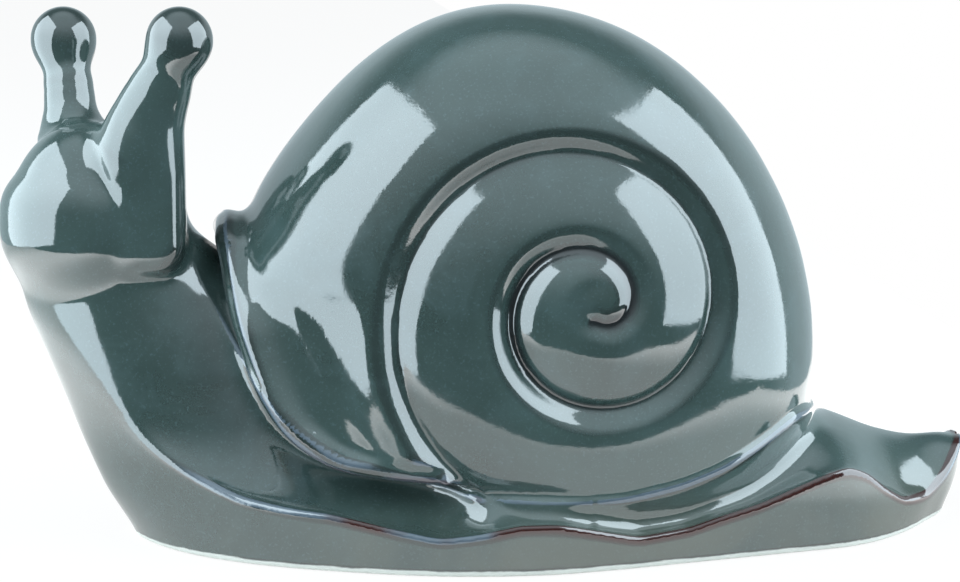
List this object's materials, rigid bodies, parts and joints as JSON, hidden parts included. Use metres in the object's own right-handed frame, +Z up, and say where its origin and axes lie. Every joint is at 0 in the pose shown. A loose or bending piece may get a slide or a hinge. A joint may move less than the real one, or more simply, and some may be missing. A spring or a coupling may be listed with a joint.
{
  "type": "snail figurine",
  "caption": "Glazed ceramic snail figurine with a large coiled shell, raised head with two round-tipped tentacles and a wavy-rimmed flat foot.",
  "frame": {"origin": "on the flat resting face, on the snail's centre plane, under the front of the shell's centre", "axes": "+Z up, -X the way the snail faces, +X to the tail, +Y the snail's left"},
  "size_m": [0.2473, 0.1142, 0.1355],
  "materials": {
    "glazed_body": "gloss",
    "glazed_shell": "gloss",
    "bare_clay": "matte"
  },
  "bodies": {
    "root": {"body_casting": "glazed_body", "shell_casting": "glazed_shell", "shell_lip": "glazed_shell", "left_tentacle": "glazed_body", "right_tentacle": "glazed_body", "sole_slab": "bare_clay"}
  },
  "joints": []
}
